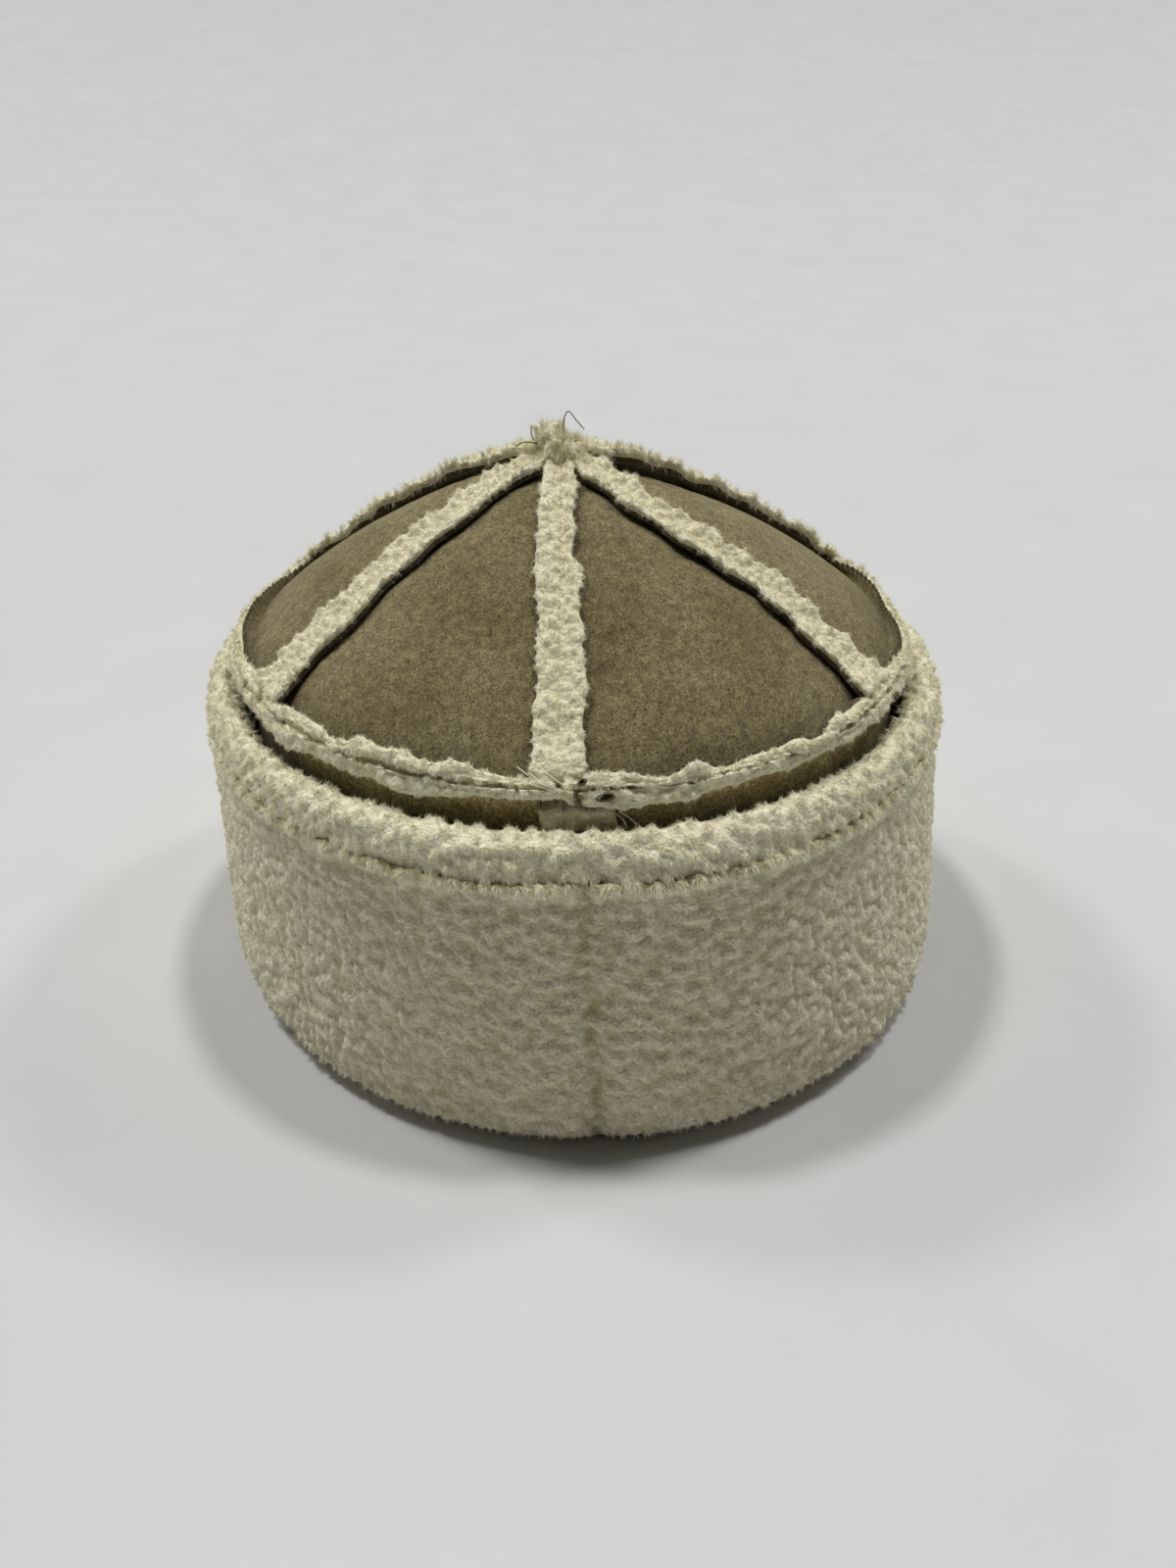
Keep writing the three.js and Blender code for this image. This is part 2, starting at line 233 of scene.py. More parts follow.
def ring_point(azimuth, depth, side):
    half = side * GAP / 2
    radius = RING_RADIUS - RING_OUT * depth - RING_UP * half
    return polar(azimuth, radius, RING_HEIGHT - RING_UP * depth + RING_OUT * half)


def seam_azimuth(seam, s):
    return np.radians(seam["turn"] + seam["bend"] * smoothstep(s, BEND_FROM, BEND_TO))


def gore_span(g, s):
    start = seam_azimuth(SEAMS[g], s)
    half = (seam_azimuth(SEAMS[(g + 1) % len(SEAMS)], s) - start) % TURN / 2
    return start + half, half


def gore_azimuth(g, s, t):
    middle, half = gore_span(g, s)
    return middle + t * (half - np.arcsin(GAP / 2 / dome(s)[0]))


def gore_point(g, s, t, height):
    radius, z, out, up = dome(s)
    over = height + GORES[g]["puff"] * (1 - t * t) * np.sin(np.pi * s**SWELL_POWER)
    return polar(gore_azimuth(g, s, t), radius + out * over, z + up * over)


def band_radius(z):
    slope = (BAND_FOOT_RADIUS - RING_RADIUS) / (RING_HEIGHT - BAND_FOOT)
    return RING_RADIUS + slope * (RING_HEIGHT - z)


# Meshes
def grid_faces(rows, cols, wrap_rows=False, wrap_cols=False):
    """Quads of a grid of points, with their corners' places in the unit square."""
    i, j = np.meshgrid(
        np.arange(rows if wrap_rows else rows - 1), np.arange(cols if wrap_cols else cols - 1), indexing="ij"
    )
    i, j = i.ravel(), j.ravel()
    corners = [(i, j), (i, j + 1), (i + 1, j + 1), (i + 1, j)]
    quads = np.stack([(a % rows) * cols + b % cols for a, b in corners], -1)
    span = np.array([rows if wrap_rows else rows - 1, cols if wrap_cols else cols - 1], float)
    uv = np.stack([np.stack(c, -1) / span for c in corners], 1)
    return quads, uv, i, j


def point_normals(points, faces):
    """Area-weighted normals of the points of a mesh."""
    p = points[faces]
    face = np.cross(p[:, 2] - p[:, 0], p[:, -1] - p[:, 1]) if faces.shape[1] == 4 else np.cross(
        p[:, 1] - p[:, 0], p[:, 2] - p[:, 0]
    )
    total = np.zeros_like(points)
    for k in range(faces.shape[1]):
        for axis in range(3):
            total[:, axis] += np.bincount(faces[:, k], face[:, axis], len(points))
    return unit(total)


class Patch:
    """One surface of a piece: points, faces of one kind, corner places, tones and material numbers."""

    def __init__(self, points, faces, uv, tone, material, strands=False):
        self.points, self.faces, self.uv = points, faces, uv
        self.tone = np.broadcast_to(tone, len(points)).astype(float)
        self.material = np.broadcast_to(material, len(faces)).astype(np.int32)
        self.strands = strands


def piece(name, patches, materials, node=None):
    """A mesh object from patches; each patch has its own strip of the texture square."""
    offset, points, corners, starts, uvs, tones, numbers = 0, [], [], [], [], [], []
    loops = 0
    for k, patch in enumerate(patches):
        points.append(patch.points)
        corners.append((patch.faces + offset).ravel())
        size = patch.faces.shape[1]
        starts.append(loops + size * np.arange(len(patch.faces)))
        strip = patch.uv.reshape(-1, 2).copy()
        if not patch.strands:
            strip[:, 0] = (k + 0.02 + 0.96 * strip[:, 0]) / len(patches)
        uvs.append(strip)
        tones.append(patch.tone)
        numbers.append(patch.material)
        offset += len(patch.points)
        loops += patch.faces.size
    co = np.concatenate(points)
    co = co + np.outer(co[:, 2] * LEAN, [1, 0, 0])
    mesh = bpy.data.meshes.new(name)
    mesh.vertices.add(len(co))
    mesh.vertices.foreach_set("co", (co * MM).astype(np.float32).ravel())
    corner = np.concatenate(corners).astype(np.int32)
    start = np.concatenate(starts).astype(np.int32)
    mesh.loops.add(len(corner))
    mesh.loops.foreach_set("vertex_index", corner)
    mesh.polygons.add(len(start))
    mesh.polygons.foreach_set("loop_start", start)
    mesh.polygons.foreach_set("material_index", np.concatenate(numbers))
    mesh.polygons.foreach_set("use_smooth", np.ones(len(start), bool))
    layer = mesh.uv_layers.new(name="OFBake")
    layer.data.foreach_set("uv", np.concatenate(uvs).astype(np.float32).ravel())
    tone = mesh.attributes.new("tone", "FLOAT", "POINT")
    tone.data.foreach_set("value", np.concatenate(tones).astype(np.float32))
    for material in materials:
        mesh.materials.append(material)
    mesh.update(calc_edges=True)
    made = bpy.data.objects.new(name, mesh)
    bpy.context.scene.collection.objects.link(made)
    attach(made, "root")
    if node:
        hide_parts(node)
    return made


def end_caps(rows, cols):
    """Quads that close the two ends of a sweep whose section runs out and back."""
    j = np.arange(cols // 2 - 1)
    near = np.stack([j, cols - 1 - j, cols - 2 - j, j + 1], -1)
    far = np.stack([j, j + 1, cols - 2 - j, cols - 1 - j], -1) + (rows - 1) * cols
    return np.concatenate([near, far])


# Wool pile: each fibre is a thin blade of one triangle that lies low over its surface
# Painted shade: each fibre is painted darker at its root than at its tip, as the root lies deep in the pile.
ROOT_PAINTED_SHADE = 0.72
STAND_LOW, STAND_HIGH = np.radians(12), np.radians(45)
# Painted light: a clump is painted paler above its middle than below, as if lit from above.
CLUMP_PAINTED_LIGHT = 0.35  # how much paler a clump is above its middle than below
CROWD, BARE = 1.9, 0.85  # fibres drawn for each one kept, and the share left out between clumps
GATHER = 1.3  # how strongly a clump's fibres lean towards its middle


def scatter(points, quads, weight, normals, count):
    """Random spots on quads, by area and weight, with their normals and quads."""
    a, b, c, d = (points[quads[:, k]] for k in range(4))
    area = np.linalg.norm(np.cross(b - a, d - a), axis=-1) + np.linalg.norm(np.cross(b - c, d - c), axis=-1)
    running = np.cumsum(area * weight)
    pick = np.searchsorted(running, rng.random(count) * running[-1])
    u, v = rng.random((2, count, 1))
    share = [(1 - u) * (1 - v), u * (1 - v), u * v, (1 - u) * v]
    spot = sum(w * points[quads[pick, k]] for k, w in enumerate(share))
    normal = unit(sum(w * normals[quads[pick, k]] for k, w in enumerate(share)))
    return spot, normal, pick


def pile(spot, normal, comb, length, width, tone, stand, loose=0.16, sink=0.15):
    """Fibres at these spots. comb leans them along the surface, loose scatters them, stand lifts them."""
    count = len(spot)
    drift = comb + loose * rng.normal(size=(count, 3))
    flat = unit(drift - normal * dot(drift, normal))
    way = flat * np.cos(stand)[:, None] + normal * np.sin(stand)[:, None]
    half = unit(np.cross(way, normal)) * (width / 2)[:, None]
    root = spot - normal * sink
    tip = root + way * length[:, None]
    points = np.stack([root - half, root + half, tip], 1).reshape(-1, 3)
    faces = np.arange(3 * count).reshape(-1, 3)
    shade = np.stack([ROOT_PAINTED_SHADE * tone, ROOT_PAINTED_SHADE * tone, tone], -1)
    along = np.array([0, 0, 1.0])
    uv = np.stack([np.repeat(tone, 3), np.tile(along, count)], -1)
    return Patch(points, faces, uv[faces], shade.ravel(), 0, strands=True)


# Materials
class Nodes:
    """A material's node tree with short ways to add and join nodes."""

    def __init__(self, name):
        self.material = bpy.data.materials.new(name)
        self.material.use_nodes = True
        self.tree = self.material.node_tree
        self.shader = self.tree.nodes["Principled BSDF"]

    def add(self, kind, **values):
        node = self.tree.nodes.new(kind)
        for key, value in values.items():
            if hasattr(node, key):
                setattr(node, key, value)
            else:
                node.inputs[key.replace("_", " ").title()].default_value = value
        return node

    def join(self, source, target):
        self.tree.links.new(source, target)

    def noise(self, size_mm, detail=2.0, seed=0.0):
        place = self.add("ShaderNodeTexCoord").outputs["Object"]
        node = self.add("ShaderNodeTexNoise", noise_dimensions="4D", scale=1 / (size_mm * MM), detail=detail, w=seed)
        self.join(place, node.inputs["Vector"])
        return node.outputs["Fac"]

    def cells(self, size_mm):
        place = self.add("ShaderNodeTexCoord").outputs["Object"]
        node = self.add("ShaderNodeTexVoronoi", feature="SMOOTH_F1", scale=1 / (size_mm * MM), smoothness=0.6)
        self.join(place, node.inputs["Vector"])
        return self.math("SUBTRACT", 1.0, node.outputs["Distance"])

    def math(self, operation, a, b):
        node = self.add("ShaderNodeMath", operation=operation)
        for socket, value in zip(node.inputs, (a, b)):
            if isinstance(value, (int, float)):
                socket.default_value = value
            else:
                self.join(value, socket)
        return node.outputs[0]

    def ramp(self, source, stops):
        node = self.add("ShaderNodeValToRGB")
        band = node.color_ramp.elements
        while len(band) < len(stops):
            band.new(0.5)
        for element, (place, colour) in zip(band, stops):
            element.position = place
            element.color = (*colour, 1)
        self.join(source, node.inputs["Fac"])
        return node.outputs["Color"]

    def shaded(self, colour, factor):
        node = self.add("ShaderNodeVectorMath", operation="SCALE")
        self.join(colour, node.inputs[0])
        self.join(factor, node.inputs["Scale"])
        return node.outputs["Vector"]

    def tone(self):
        return self.add("ShaderNodeAttribute", attribute_name="tone").outputs["Fac"]

    def bump(self, height, strength, distance_mm):
        node = self.add("ShaderNodeBump", strength=strength, distance=distance_mm * MM)
        self.join(height, node.inputs["Height"])
        self.join(node.outputs["Normal"], self.shader.inputs["Normal"])

    def finish(self, colour, roughness, sheen=0.0, tint=(1, 1, 1)):
        self.join(colour, self.shader.inputs["Base Color"])
        self.shader.inputs["Roughness"].default_value = roughness
        self.shader.inputs["Specular IOR Level"].default_value = 0.15
        self.shader.inputs["Sheen Weight"].default_value = sheen
        self.shader.inputs["Sheen Roughness"].default_value = 0.6
        self.shader.inputs["Sheen Tint"].default_value = (*tint, 1)
        return self.material


WOOL_STOPS = [(0.0, (0.18, 0.143, 0.062)), (0.5, (0.645, 0.58, 0.342)), (1.0, (0.99, 0.95, 0.735))]


def suede_material():
    n = Nodes("suede")
    cloud = n.noise(22, 3, 1.0)
    nap = n.noise(0.45, 3, 2.0)
    patches = n.noise(2.4, 4, 3.0)
    colour = n.ramp(cloud, [(0.3, (0.158, 0.125, 0.055)), (0.7, (0.248, 0.207, 0.107))])
    speckle = n.math("MULTIPLY_ADD", nap, 3.6)
    speckle.node.inputs[2].default_value = -0.8
    soft = n.math("MULTIPLY_ADD", patches, 1.4)
    soft.node.inputs[2].default_value = 0.3
    factor = n.math("MULTIPLY", n.math("MULTIPLY", speckle, soft), n.tone())
    n.bump(n.noise(0.5, 2, 4.0), 0.5, 0.25)
    return n.finish(n.shaded(colour, factor), 0.95, 0.12, (0.9, 0.85, 0.65))


def hide_material():
    n = Nodes("hide_edge")
    colour = n.ramp(n.noise(1.2, 3, 5.0), [(0.3, (0.066, 0.052, 0.026)), (0.7, (0.15, 0.122, 0.066))])
    n.bump(n.noise(0.6, 2, 6.0), 0.5, 0.3)
    return n.finish(n.shaded(colour, n.tone()), 0.95)


def wool_material():
    n = Nodes("wool")
    grain = n.math("MULTIPLY_ADD", n.noise(0.55, 2, 7.0), 1.1)
    grain.node.inputs[2].default_value = 0.45
    shade = n.math("MULTIPLY", n.tone(), grain)
    n.bump(n.math("ADD", n.noise(0.6, 2, 8.0), n.cells(1.1)), 0.8, 0.5)
    return n.finish(n.ramp(shade, WOOL_STOPS), 1.0, 0.15)


def lining_pile_material():
    """Unshorn pile on the inside, in soft curls."""
    n = Nodes("inside_pile")
    curls = n.cells(2.6)
    grain = n.math("MULTIPLY_ADD", n.noise(0.7, 3, 14.0), 0.9)
    grain.node.inputs[2].default_value = 0.5
    # Painted shade between the curls, with random grain.
    depth = n.math("MULTIPLY_ADD", curls, 0.9)
    depth.node.inputs[2].default_value = 0.3
    shade = n.math("MULTIPLY", n.math("MULTIPLY", n.tone(), grain), depth)
    n.bump(n.math("ADD", n.noise(0.8, 2, 15.0), n.math("MULTIPLY", curls, 3.0)), 1.0, 1.2)
    return n.finish(n.ramp(shade, WOOL_STOPS), 1.0, 0.15)


def fibre_material():
    n = Nodes("wool_fibre")
    return n.finish(n.ramp(n.tone(), WOOL_STOPS), 1.0, 0.1)


def thread_material():
    n = Nodes("thread")
    colour = n.ramp(n.noise(0.8, 2, 9.0), [(0.3, (0.06, 0.05, 0.03)), (0.7, (0.16, 0.14, 0.09))])
    return n.finish(colour, 0.9)


SUEDE, WOOL, HIDE = suede_material(), wool_material(), hide_material()
FIBRE, THREAD = fibre_material(), thread_material()
LAYERS = [SUEDE, WOOL, HIDE, lining_pile_material()]
SUEDE_AT, WOOL_AT, HIDE_AT, INSIDE_AT = range(4)

# A lip's section runs over the pile from the seam to the free edge, round the pile's overhang there,
# then back under the hide
LIP_FLAT = 11
LIP_BULGE = np.radians([70, 40, 10, -20, -50])
LIP_TOP = 1 + LIP_FLAT + len(LIP_BULGE)
FLAT_SHARE = np.linspace(0, 1, LIP_FLAT)


def lip_section(width, lift, pile_height=LIP_PILE, valley=0.0, stand=0.0, teeth=0.0, edge_pile=LIP_EDGE_PILE):
    """Distances across from the seam and heights over the face, by rows along the lip."""
    stand, teeth = (np.broadcast_to(np.asarray(v, float), len(width)) for v in (stand, teeth))
    width, lift, stand, teeth = (np.asarray(v, float)[:, None] for v in (width, lift, stand, teeth))
    one = np.ones_like(width)
    reach = width - LIP_BULGE_IN
    across = LIP_INSET + (reach - LIP_INSET) * FLAT_SHARE
    crest = mix(pile_height, lift + LIP_HIDE + edge_pile, FLAT_SHARE)
    top = crest - valley * np.exp(-((across / LIP_VALLEY_WIDTH) ** 2)) + valley * np.sin(np.pi * FLAT_SHARE)
    radius = edge_pile / 2
    bulge = reach + LIP_BULGE_OUT * np.cos(LIP_BULGE)
    bulge_top = lift + LIP_HIDE + radius * (1 + np.sin(LIP_BULGE))
    middle = mix(LIP_FOLD, width, LIP_MIDDLE)
    rest = [
        (width + teeth, lift + 0.9 * LIP_HIDE),
        (width * 0.985 + teeth, lift),
        (middle, mix(LIP_SLOT, lift, LIP_MIDDLE)),
        (LIP_FOLD * one, LIP_SLOT * one),
        (LIP_FOLD * one, -LIP_ROOT * one),
        (LIP_FOLD * 0.6 * one, -LIP_ROOT * one),
        (0.1 * one, -LIP_ROOT * one),
    ]
    tuck = (pile_height - valley - LIP_TUCK_DROP) * one
    across = np.concatenate([-LIP_TUCK * one, across, bulge, *(a for a, _ in rest)], 1)
    height = np.concatenate([tuck, top, bulge_top, *(h for _, h in rest)], 1)
    bend = np.radians(stand) * smoothstep(across, 0.3, 2.5)
    out, up = across - LIP_FOLD, height - LIP_SLOT
    across = LIP_FOLD + out * np.cos(bend) - up * np.sin(bend)
    height = LIP_SLOT + out * np.sin(bend) + up * np.cos(bend)
    return across, height


def pinked(distance, tooth):
    """A zigzag from -1 to 1 along a cut edge."""
    return 4 * np.abs((distance / tooth) % 1 - 0.5) - 1


def along_noise(distance, size, seed):
    line = np.stack([distance, np.full_like(distance, 7.3 * seed), np.zeros_like(distance)], -1)
    return soft_noise(line, size, seed)


def close_ends(height, share, length):
    """Rounds a lip's height off over its two ends."""
    left = np.clip(np.minimum(share, 1 - share) * length / 1.6, 0, 1)
    fade = np.sqrt(1 - (1 - left) ** 2)[:, None]
    return -LIP_ROOT + (height + LIP_ROOT) * fade


NUB_LIP = 2.9
NUB_LIP_DEPTH = 1.3


def nubs(points, size, seed):
    """Soft round lumps from -1 between them to 1 on top, and each lump's draw."""
    far, _, draw = clumps(points, size, seed)
    return np.cos(np.pi * np.minimum(far / 0.95, 1)), draw


def lip_patch(points, seed):
    """A lip's mesh, with nubs on its pile, and what its fibres need."""
    rows, cols = points.shape[:2]
    flat = points.reshape(-1, 3)
    faces, uv, _, j = grid_faces(rows, cols, wrap_cols=True)
    normals = point_normals(flat, faces)
    centre = points.mean(1, keepdims=True)
    if (normals.reshape(points.shape) * (points - centre)).sum() < 0:
        faces, uv = faces[:, ::-1], uv[:, ::-1]
        normals = -normals
    column = np.tile(np.arange(cols), rows)
    on_top = column < LIP_TOP
    share = np.where(on_top, column / (LIP_TOP - 1), 1)
    soft = np.where(on_top, (1 - share**8) * smoothstep(share, 0.03, 0.2), 0)
    nub, draw = nubs(flat, NUB_LIP, seed)
    flat = flat + normals * (soft * (NUB_LIP_DEPTH / 2 * nub + 0.3 * soft_noise(flat, 6, seed)))[:, None]
    normals = point_normals(flat, faces)
    # Painted shade: darker between the nubs and paler on their tops; the draw varies the tone at random.
    tone = np.where(on_top, 0.76 + 0.1 * nub + 0.06 * draw, 0.9)
    material = np.select([j < LIP_TOP - 1, j < LIP_TOP + 1], [WOOL_AT, HIDE_AT], SUEDE_AT)
    caps = end_caps(rows, cols)
    cap_uv = np.full((len(caps), 4, 2), 0.999)
    patch = Patch(
        flat, np.concatenate([faces, caps]), np.concatenate([uv, cap_uv]), tone,
        np.concatenate([material, np.full(len(caps), WOOL_AT)]),
    )
    weight = np.where(j < LIP_TOP - 1, 1.0, 0.0)
    return patch, (flat, faces, weight, normals)


SEAM_ROWS = 150


def seam_lip(g, seam_index, side):
    seam = SEAMS[seam_index]
    share = np.linspace(0, 1, SEAM_ROWS)
    s = mix(LIP_FROM, LIP_TO, share)
    radius, _, _, up = dome(s)
    half_width = radius * gore_span(g, s)[1]
    distance = share * RING_RADIUS / FOOT_UP
    seed = 20 + 2 * seam_index + (side > 0)
    ripples, ruffle, raised, narrow, bare = EDGES[seam_index][side]
    wave = np.sin(TURN * (seam["waves"] * share + seam["phase"]) + side)
    ripple = np.sin(TURN * ripples * share + 2.2 * along_noise(distance, 25, seed + 30))
    width = LIP_WIDTH * mix(1, LIP_TAPER, share) + LIP_RUFFLE * wave + ruffle * ripple
    width = width + seam["wider"] + 0.4 * along_noise(distance, 5, seed) - narrow * smoothstep(share, NARROW_FROM, NARROW_TO)
    width = np.minimum(width, half_width - GAP)
    lift = seam["lift"] * (1 - LIP_RIPPLE + LIP_RIPPLE * wave) + 0.35 * along_noise(distance, 9, seed + 50)
    lift = lift + raised * (1 + 0.5 * ripple) * smoothstep(share, 0, 0.1)
    across, height = lip_section(width, np.maximum(lift, 0.35), edge_pile=seam["pile"], teeth=bare)
    height = height + FOOT_RISE * (1 - smoothstep(distance, 3, 10))[:, None]
    height = close_ends(height, share, distance[-1])
    t = side * (1 - across / half_width[:, None])
    points = gore_point(g, s[:, None], t, height)
    return lip_patch(points, seed)


FOOT_ROWS = 180


def ring_row(azimuth):
    turn = np.degrees(np.arctan2(np.sin(azimuth), np.cos(azimuth)))
    wave = np.sin(RING_WAVES * azimuth)
    upper, lower, stand = (np.interp(turn, RING_TURN, row) for row in (UPPER_WIDTH, LOWER_WIDTH, RING_STAND))
    return upper + LIP_RUFFLE * wave, lower + LIP_RUFFLE * wave, RING_LIFT + RING_WAVE_LIFT * wave, stand


def foot_lip(g):
    share = np.linspace(0, 1, FOOT_ROWS)
    t = mix(-1, 1, share)
    azimuth = gore_azimuth(g, 0.0, t)
    distance = azimuth * RING_RADIUS
    width, _, lift, stand = ring_row(azimuth)
    turn = np.degrees(np.arctan2(np.sin(azimuth), np.cos(azimuth)))
    ruffled = smoothstep(turn, 5, 10) * (1 - smoothstep(turn, 45, 55))
    ruffled = ruffled + 0.7 * smoothstep(turn, -58, -50) * (1 - smoothstep(turn, -14, -8))
    ruffle = 0.9 * np.sin(TURN * distance / 24) + 0.7 * np.sin(TURN * distance / 13.5)
    width = width + ruffled * ruffle + 0.45 * along_noise(distance, 6, 61)
    teeth = smoothstep(np.abs(turn), 66, 74) * (0.4 + 0.75 * (1 + pinked(distance, 2.5)))
    teeth = teeth + 0.8 * smoothstep(turn, 8, 14) * (1 - smoothstep(turn, 52, 60)) * (1 + 0.4 * along_noise(distance, 4, 65))
    lift = lift + 0.4 * along_noise(distance, 8, 62)
    stand = stand + 8 * along_noise(distance, 10, 64)
    across, height = lip_section(width, np.maximum(lift, 0.4), valley=RING_VALLEY, stand=stand, teeth=teeth)
    height = close_ends(height, share, np.ptp(distance))
    face = gore_point(g, np.maximum(across, 0) / MERIDIAN, t[:, None], 0.0)
    over = np.minimum(1, across / LIP_WIDTH)
    out = mix(RING_OUT, FOOT_OUT, over) * height
    up = mix(RING_UP, FOOT_UP, over) * height
    points = face + polar(azimuth[:, None], out, up)
    return lip_patch(points, 63 + g)


PANEL_ROWS, PANEL_COLS, INNER_COLS = 60, 52, 16
PANEL_END = 0.965
SIDE_DIP = 1.1
SIDE_DIP_WIDTH = 3.0


def gore_panel(g):
    """Suede outside, pile inside, gathered a little along its seams."""
    t = np.linspace(-1, 1, PANEL_COLS)
    s = PANEL_END * np.linspace(0, 1, PANEL_ROWS)[1:, None]
    radius = dome(s)[0]
    half_width = radius * gore_span(g, s)[1]
    from_side = (1 - np.abs(t)) * half_width
    along = s * MERIDIAN
    plain = gore_point(g, s, t, 0.0)
    raised = np.where(t < 0, EDGES[g][-1][2], EDGES[(g + 1) % len(EDGES)][1][2])
    dip = (SIDE_DIP + 0.8 * raised) * np.exp(-from_side / SIDE_DIP_WIDTH)
    dip = dip + SIDE_DIP * np.exp(-along / SIDE_DIP_WIDTH)
    gather = np.sin(TURN * along / 8 + 2.5 * soft_noise(plain, 18, 71)) * np.exp(-from_side / 6)
    foot_gather = np.sin(TURN * t * half_width / 9 + 2 * soft_noise(plain, 18, 72)) * np.exp(-along / 7)
    swell = 0.55 * soft_noise(plain, 30, 73) + 0.2 * soft_noise(plain, 11, 74)
    keep = smoothstep(half_width, 2, 12)
    height = keep * (0.22 * gather + 0.25 * foot_gather + swell) - np.minimum(dip, 1.6)
    outer = gore_point(g, s, t, height)
    back = np.linspace(1, -1, INNER_COLS)
    inner = gore_point(g, s, back, np.full_like(s, -PELT))
    outer_foot = ring_point(gore_azimuth(g, 0.0, t), 0, 1)[None]
    inner_foot = ring_point(gore_azimuth(g, 0.0, back), RING_DEPTH, 1)[None]
    points = np.concatenate(
        [np.concatenate([outer_foot, outer]), np.concatenate([inner_foot, inner])], 1
    )
    rows, cols = points.shape[:2]
    faces, uv, i, j = grid_faces(rows, cols, wrap_cols=True)
    faces, uv = faces[:, ::-1], uv[:, ::-1]
    flat = points.reshape(-1, 3)
    suede = j < PANEL_COLS - 1
    # Painted shade: the suede is painted darker near the seams and the ring, under the lips' overhang.
    near = np.concatenate([np.zeros((1, PANEL_COLS)), np.minimum(from_side, along)])
    shade = 0.80 + 0.2 * smoothstep(near, 0, 9)
    tone = np.concatenate([shade, np.full((len(shade), INNER_COLS), 1.2)], 1).ravel()
    material = np.where(suede, SUEDE_AT, INSIDE_AT)
    inside = np.where((j >= PANEL_COLS) & (j < cols - 1), 1.0, 0.0)
    return Patch(flat, faces, uv, tone, material), (flat, faces, inside, point_normals(flat, faces))


TIP_ROWS, TIP_COLS = 22, 28
TIP_ROOT = 5.0
TIP_RISE = [0, 0.25, 0.45, 0.7, 0.9, 1]
TIP_FULL = [1.6, 1.45, 1.25, 1.0, 0.62, 0.08]
TUFT_HOLE = polar(np.radians(-62), 7.6, APEX + 2.6)
TUFT_HOLE_SIZE = 2.0


def hole(points):
    return np.exp(-((np.linalg.norm(points - TUFT_HOLE, axis=-1) / TUFT_HOLE_SIZE) ** 2))


def tuft_tone(points):
    """Cream below, with olive patches towards the top, and painted shade in a hollow at one side."""
    up = smoothstep(points[:, 2] - APEX, 0, 7)
    patch = np.clip(soft_noise(points, 3.2, 83) + 0.15, 0, 1)
    return -0.4 * up * patch - 0.8 * hole(points)


def gore_tip(g):
    """The bunched end of a gore: a lump of pile turned up at the apex."""
    middle, half = gore_span(g, 1.0)
    tip, reach = GORES[g]["tip"], GORES[g]["reach"]
    up = np.linspace(0, 1, TIP_ROWS)[:, None]
    turn = np.linspace(0, TURN, TIP_COLS, endpoint=False)
    full = np.interp(up, TIP_RISE, TIP_FULL)
    x = 0.52 * reach * (1 - 0.25 * up) + 0.46 * reach * full * np.cos(turn)
    y = 0.95 * reach * np.sin(half) * full * np.sin(turn)
    z = APEX - TIP_ROOT + (tip + TIP_ROOT) * up + 0 * turn
    points = polar(middle + np.arctan2(y, x), np.hypot(x, y), z)
    faces, uv, i, _ = grid_faces(TIP_ROWS, TIP_COLS, wrap_cols=True)
    outward = points - points.mean(1, keepdims=True)
    points = points.reshape(-1, 3)
    normals = point_normals(points, faces)
    if (normals * outward.reshape(-1, 3)).sum() < 0:
        faces, uv, normals = faces[:, ::-1], uv[:, ::-1], -normals
    lump = 1.1 * soft_noise(points, 3, 81) + 0.6 * soft_noise(points, 1.5, 82) - 2.2 * hole(points)
    points = points + normals * lump[:, None]
    normals = point_normals(points, faces)
    tone = np.clip(0.86 + 0.1 * soft_noise(points, 2, 84) + tuft_tone(points), 0.05, 1)
    ends = np.stack([np.full(TIP_COLS - 2, 0), np.arange(1, TIP_COLS - 1), np.arange(2, TIP_COLS)], -1)
    patch = Patch(points, faces, uv, tone, WOOL_AT)
    cap = Patch(points[-TIP_COLS:], ends, np.full((len(ends), 3, 2), 0.5), tone[-TIP_COLS:], WOOL_AT)
    return [patch, cap], (points, faces, np.where(i > 3, 1.0, 0.0), normals)


TUFT = 0.95  # the finest locks of the pile


